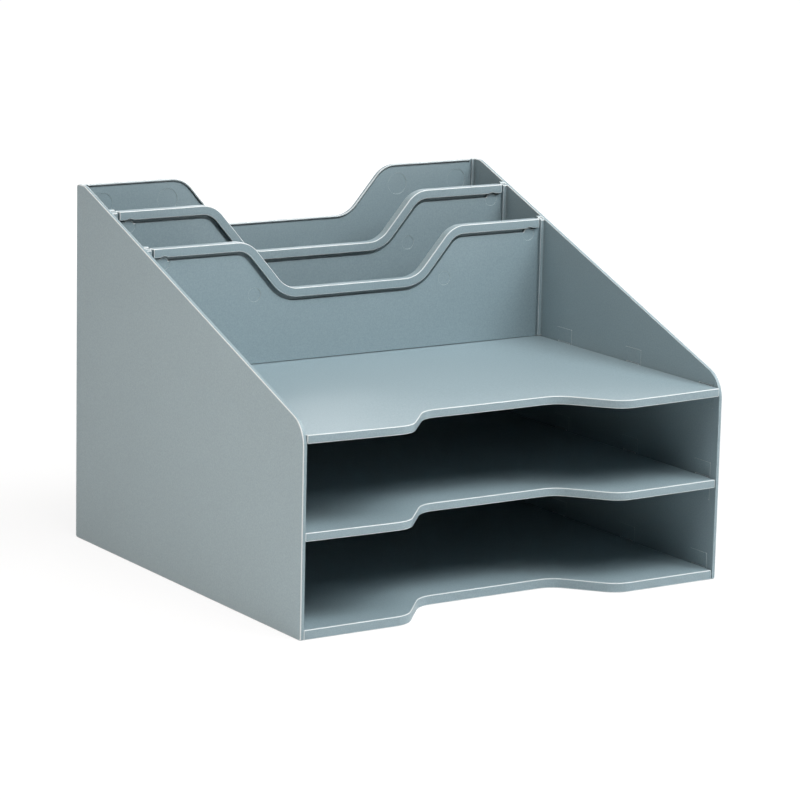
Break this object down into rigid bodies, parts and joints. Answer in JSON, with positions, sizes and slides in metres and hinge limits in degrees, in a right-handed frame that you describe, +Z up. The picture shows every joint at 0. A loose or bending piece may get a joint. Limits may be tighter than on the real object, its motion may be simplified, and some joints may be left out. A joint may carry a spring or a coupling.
{
  "type": "desk file and paper organiser",
  "caption": "Desk organiser with open letter trays below a sloped top shelf stand and upright file pockets behind, with finger cut-outs and lift-out dividers.",
  "frame": {"origin": "middle of the footprint, on the desk", "axes": "+X to the user's right across the organiser, +Y from the open front to the back panel, +Z up"},
  "size_m": [0.318, 0.296, 0.2416],
  "materials": {
    "grey_plastic": "fine-textured matte moulding, bluish grey"
  },
  "bodies": {
    "stand": {"left_side_panel": "grey_plastic", "right_side_panel": "grey_plastic", "bottom_shelf": "grey_plastic", "middle_shelf": "grey_plastic", "top_shelf": "grey_plastic", "back_panel": "grey_plastic"},
    "middle_divider": {"middle_divider": "grey_plastic"},
    "front_divider": {"front_divider": "grey_plastic"}
  },
  "joints": [
    {"name": "middle_divider_lift", "type": "slide", "parent": "stand", "child": "middle_divider", "axis": [0, 0, 1], "range_m": [0, 0.115]},
    {"name": "front_divider_lift", "type": "slide", "parent": "stand", "child": "front_divider", "axis": [0, 0, 1], "range_m": [0, 0.115]}
  ]
}
